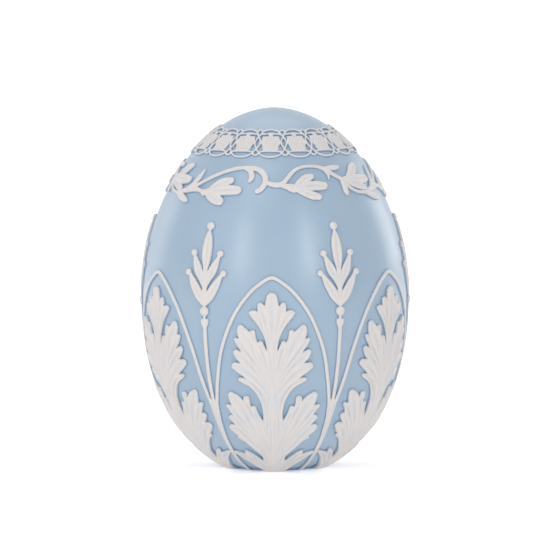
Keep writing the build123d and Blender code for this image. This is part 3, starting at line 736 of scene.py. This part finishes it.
def remap(tree, value, low, high, to_low, to_high):
    """A value carried from one range to another."""
    node = tree.nodes.new("ShaderNodeMapRange")
    for socket, number in zip(("From Min", "From Max", "To Min", "To Max"), (low, high, to_low, to_high)):
        node.inputs[socket].default_value = number
    tree.links.new(value, node.inputs["Value"])
    return node.outputs["Result"]


def bump(tree, height, strength):
    """A bump normal from a height socket."""
    node = tree.nodes.new("ShaderNodeBump")
    node.inputs["Strength"].default_value = strength
    node.inputs["Distance"].default_value = BUMP_HEIGHT
    tree.links.new(height, node.inputs["Height"])
    return node.outputs["Normal"]


def white_relief():
    """Hand-finished off-white relief: faint warm and cool patches, with painted shade darkening its hollows
    to a bluish grey, and its outline and upright sides in the body's blue darkened further with painted
    shade.
    """
    material, tree, shader = new_material("white_relief")
    hollow = tree.nodes.new("ShaderNodeAttribute")
    hollow.attribute_name = "hollow"
    edge = tree.nodes.new("ShaderNodeAttribute")
    edge.attribute_name = "edge"
    patches = remap(tree, noise(tree, scale=130), 0.35, 0.65, 0, 1)
    ground = mix(tree, patches, *RELIEF_GROUND)
    # painted shade: the hollows darkened towards a bluish grey
    hollow_shaded = mix(tree, hollow.outputs["Fac"], ground, RELIEF_HOLLOW_SHADE, strength=0.6)
    # outline and upright sides: the body's blue, with painted shade
    finished = mix(tree, edge.outputs["Fac"], hollow_shaded, RELIEF_EDGE_BLUE_AND_SHADE, strength=0.65)
    tree.links.new(finished, shader.inputs["Base Color"])
    roughness = remap(tree, noise(tree, scale=900), 0.3, 0.7, 0.46, 0.6)
    tree.links.new(roughness, shader.inputs["Roughness"])
    tree.links.new(bump(tree, noise(tree, scale=2200, detail=5), strength=0.25), shader.inputs["Normal"])
    return material


def blue_body():
    """Pale blue satin glaze: nearly even, with cloudiness, and painted shade darkening its colour where
    relief stands close.
    """
    material, tree, shader = new_material("blue_body")
    clouds = remap(tree, noise(tree, scale=45), 0.3, 0.7, 0, 1)
    ground = mix(tree, clouds, *GLAZE_GROUND)
    # occlusion by nearby relief, used to paint shade into the glaze's colour
    relief_occlusion = tree.nodes.new("ShaderNodeAmbientOcclusion")
    relief_occlusion.samples = PAINTED_SHADE_SAMPLES
    relief_occlusion.inputs["Distance"].default_value = PAINTED_SHADE_REACH
    # painted shade: the glaze darkened as the relief hems it in
    shade = remap(tree, relief_occlusion.outputs["AO"], 0.28, 0.8, 1, 0)
    shaded = mix(tree, shade, ground, GLAZE_PAINTED_SHADE, strength=0.9)
    tree.links.new(shaded, shader.inputs["Base Color"])
    roughness = remap(tree, noise(tree, scale=420), 0.3, 0.7, 0.28, 0.34)
    tree.links.new(roughness, shader.inputs["Roughness"])
    tree.links.new(bump(tree, noise(tree, scale=700, detail=4), strength=0.12), shader.inputs["Normal"])
    shader.inputs["Specular IOR Level"].default_value = 0.65
    return material


# ---------------------------------------------------------------- the object

white = white_relief()


def place(mould, name, degrees):
    """Presses a relief piece onto the body in place of its plain CAD solid."""
    piece = mould.press(name + ".relief", degrees)
    piece.data.materials.append(white)
    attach(piece, "root")
    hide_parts(name)


def build_relief():
    """All the relief, each piece standing for the CAD node of its name."""
    leaf, arch, stem, spike = leaf_pattern(), arch_pattern(), stem_pattern(), spike_pattern()
    for number in range(LEAF_COUNT):
        turn = number * LEAF_PITCH
        place(leaf, f"acanthus_leaf_{number + 1}", LEAF_START + turn)
        place(arch, f"leaf_arch_{number + 1}", LEAF_START + turn)
        place(stem, f"forked_stem_{number + 1}", SPIKE_START + turn)
        place(spike, f"flower_spike_{number + 1}", SPIKE_START + turn)
    vines = [
        ("vine_scroll", SCROLL_MIDDLE, vine_pattern(SCROLL, SCROLL_MIDDLE, seed=6)),
        ("vine_bow", BOW_MIDDLE, vine_pattern(BOW, BOW_MIDDLE, seed=7)),
        ("vine_tendril", TENDRIL_MIDDLE, vine_pattern(TENDRIL, TENDRIL_MIDDLE, seed=8)),
    ]
    flowers = [
        (middle, flower_pattern(calyx, petals, middle, seed=9 + index))
        for index, (middle, calyx, petals) in enumerate(FLOWERS)
    ]
    for number in range(VINE_COUNT):
        turn = number * VINE_PITCH
        for name, middle, mould in vines:
            place(mould, f"{name}_{number + 1}", middle + turn)
        for index, (middle, mould) in enumerate(flowers):
            place(mould, f"vine_flower_{number * len(flowers) + index + 1}", middle + turn)
    place(lace_pattern(), "lace_band", LACE_START)


def dress_body():
    """The CAD body keeps its shape and takes the glaze."""
    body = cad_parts["egg_body"]
    body.data.materials.clear()
    body.data.materials.append(blue_body())


build_relief()
dress_body()

# ---------------------------------------------------------------- studio

LIGHT_DISTANCE = 1.2  # metres
# Each softbox: its name, azimuth and elevation in degrees, width and height in metres, and power in watts
LIGHTS = [
    ("key_left", -31, 22, 0.2, 0.6, 2.0),
    ("key_right", 31, 22, 0.17, 0.6, 2.3),
    ("wide_left", -60, 20, 0.7, 0.7, 0.75),
    ("high_left", -30, 60, 0.6, 0.6, 1.85),
    ("high_back", 180, 70, 0.8, 0.8, 2.1),
    ("rim_left", -128, 12, 0.5, 0.5, 0.8),
    ("rim_right", 132, 12, 0.5, 0.5, 1.7),
]
FLOOR_HALF_WIDTH = 12.0
FLOOR_GAP = 0.00005  # how far the floor lies below the foot
FLOOR_NEAR, FLOOR_FAR = 0.12, 0.6  # distances over which the floor's look changes from near to far
FLOOR_ROUGHNESS, FLOOR_SHINE = 0.9, 0.1
CAMERA_LENS, SENSOR_WIDTH = 350, 36
CAMERA_RANGE = 50
CAMERA_DISTANCE = 2.2
CAMERA_ELEVATION = radians(5.6)
CAMERA_ROLL = radians(-0.3)
AIM_OFFSET = Vector((-3.5, 0, 8.6)) * MM  # from the object's middle to the middle of the picture


def add_light(name, azimuth, elevation, width, height, power):
    """A softbox that faces the object from a direction in degrees."""
    target = Vector((0, 0, HEIGHT * MM / 2))
    a, e = radians(azimuth), radians(elevation)
    way = Vector((sin(a) * cos(e), -cos(a) * cos(e), sin(e)))
    light = bpy.data.lights.new(name, "AREA")
    light.shape = "RECTANGLE"
    light.size, light.size_y = width, height
    light.energy = power
    lamp = bpy.data.objects.new(name, light)
    lamp.location = target + way * LIGHT_DISTANCE
    lamp.rotation_mode = "QUATERNION"
    lamp.rotation_quaternion = (-way).to_track_quat("-Z", "Y")
    bpy.context.scene.collection.objects.link(lamp)


def camera_sees(tree):
    """1 where the camera sees a surface straight or mirrored in a gloss, 0 where it only gives light."""
    path = tree.nodes.new("ShaderNodeLightPath")
    either = tree.nodes.new("ShaderNodeMath")
    either.operation = "ADD"
    either.use_clamp = True
    tree.links.new(path.outputs["Is Camera Ray"], either.inputs[0])
    tree.links.new(path.outputs["Is Glossy Ray"], either.inputs[1])
    return either.outputs[0]


def add_floor(glow, near_glow, far_glow):
    """A plain pale floor that meets the pale surroundings.

    It gives off a little light, and looks brighter than that, most of all far from the object.
    """
    half = FLOOR_HALF_WIDTH
    mesh = bpy.data.meshes.new("floor")
    corners = [(-half, -half, 0), (half, -half, 0), (half, half, 0), (-half, half, 0)]
    mesh.from_pydata(corners, [], [(0, 1, 2, 3)])
    floor = bpy.data.objects.new("floor", mesh)
    floor.location.z = body_low.z - FLOOR_GAP
    material, tree, shader = new_material("floor_paper")
    grain = remap(tree, noise(tree, scale=3), 0.3, 0.7, 0.93, 0.95)
    tree.links.new(grain, shader.inputs["Base Color"])
    shader.inputs["Roughness"].default_value = FLOOR_ROUGHNESS
    shader.inputs["Specular IOR Level"].default_value = FLOOR_SHINE
    shader.inputs["Emission Color"].default_value = (1, 1, 1, 1)
    spot = tree.nodes.new("ShaderNodeTexCoord")
    gap = tree.nodes.new("ShaderNodeVectorMath")
    gap.operation = "LENGTH"
    tree.links.new(spot.outputs["Object"], gap.inputs[0])
    seen = remap(tree, gap.outputs["Value"], FLOOR_NEAR, FLOOR_FAR, near_glow - glow, far_glow - glow)
    added = tree.nodes.new("ShaderNodeMath")
    added.operation = "MULTIPLY_ADD"
    tree.links.new(seen, added.inputs[0])
    tree.links.new(camera_sees(tree), added.inputs[1])
    added.inputs[2].default_value = glow
    tree.links.new(added.outputs[0], shader.inputs["Emission Strength"])
    mesh.materials.append(material)
    bpy.context.scene.collection.objects.link(floor)


def add_surroundings(front, back):
    """White surroundings that light the object more from behind (+Y) than from the front."""
    world = bpy.data.worlds.new("surroundings")
    world.use_nodes = True
    tree = world.node_tree
    direction = tree.nodes.new("ShaderNodeTexCoord")
    parts = tree.nodes.new("ShaderNodeSeparateXYZ")
    tree.links.new(direction.outputs["Generated"], parts.inputs[0])
    background = tree.nodes["Background"]
    background.inputs["Color"].default_value = (1, 1, 1, 1)
    strength = tree.nodes.new("ShaderNodeMath")
    strength.operation = "MAXIMUM"
    tree.links.new(remap(tree, parts.outputs["Y"], -0.5, 0.5, front, back), strength.inputs[0])
    tree.links.new(camera_sees(tree), strength.inputs[1])
    tree.links.new(strength.outputs[0], background.inputs["Strength"])
    bpy.context.scene.world = world


def add_camera():
    """A long lens a little above the object's middle."""
    middle = Vector((0, 0, HEIGHT * MM / 2))
    aim = middle + AIM_OFFSET
    camera = bpy.data.objects.new("camera", bpy.data.cameras.new("camera"))
    camera.data.lens = CAMERA_LENS
    camera.data.sensor_width = SENSOR_WIDTH
    camera.data.clip_end = CAMERA_RANGE
    back = Vector((0, -cos(CAMERA_ELEVATION), sin(CAMERA_ELEVATION)))
    camera.location = middle + CAMERA_DISTANCE * back
    way = (aim - camera.location).normalized()
    camera.rotation_mode = "QUATERNION"
    tilt = Matrix.Rotation(CAMERA_ROLL, 3, "Z").to_quaternion()
    camera.rotation_quaternion = way.to_track_quat("-Z", "Y") @ tilt
    bpy.context.scene.collection.objects.link(camera)
    bpy.context.scene.camera = camera


add_floor(glow=0.18, near_glow=0.45, far_glow=0.85)
add_surroundings(front=0.31, back=0.53)
for softbox in LIGHTS:
    add_light(*softbox)
add_camera()
bpy.context.scene.view_settings.view_transform = "Standard"
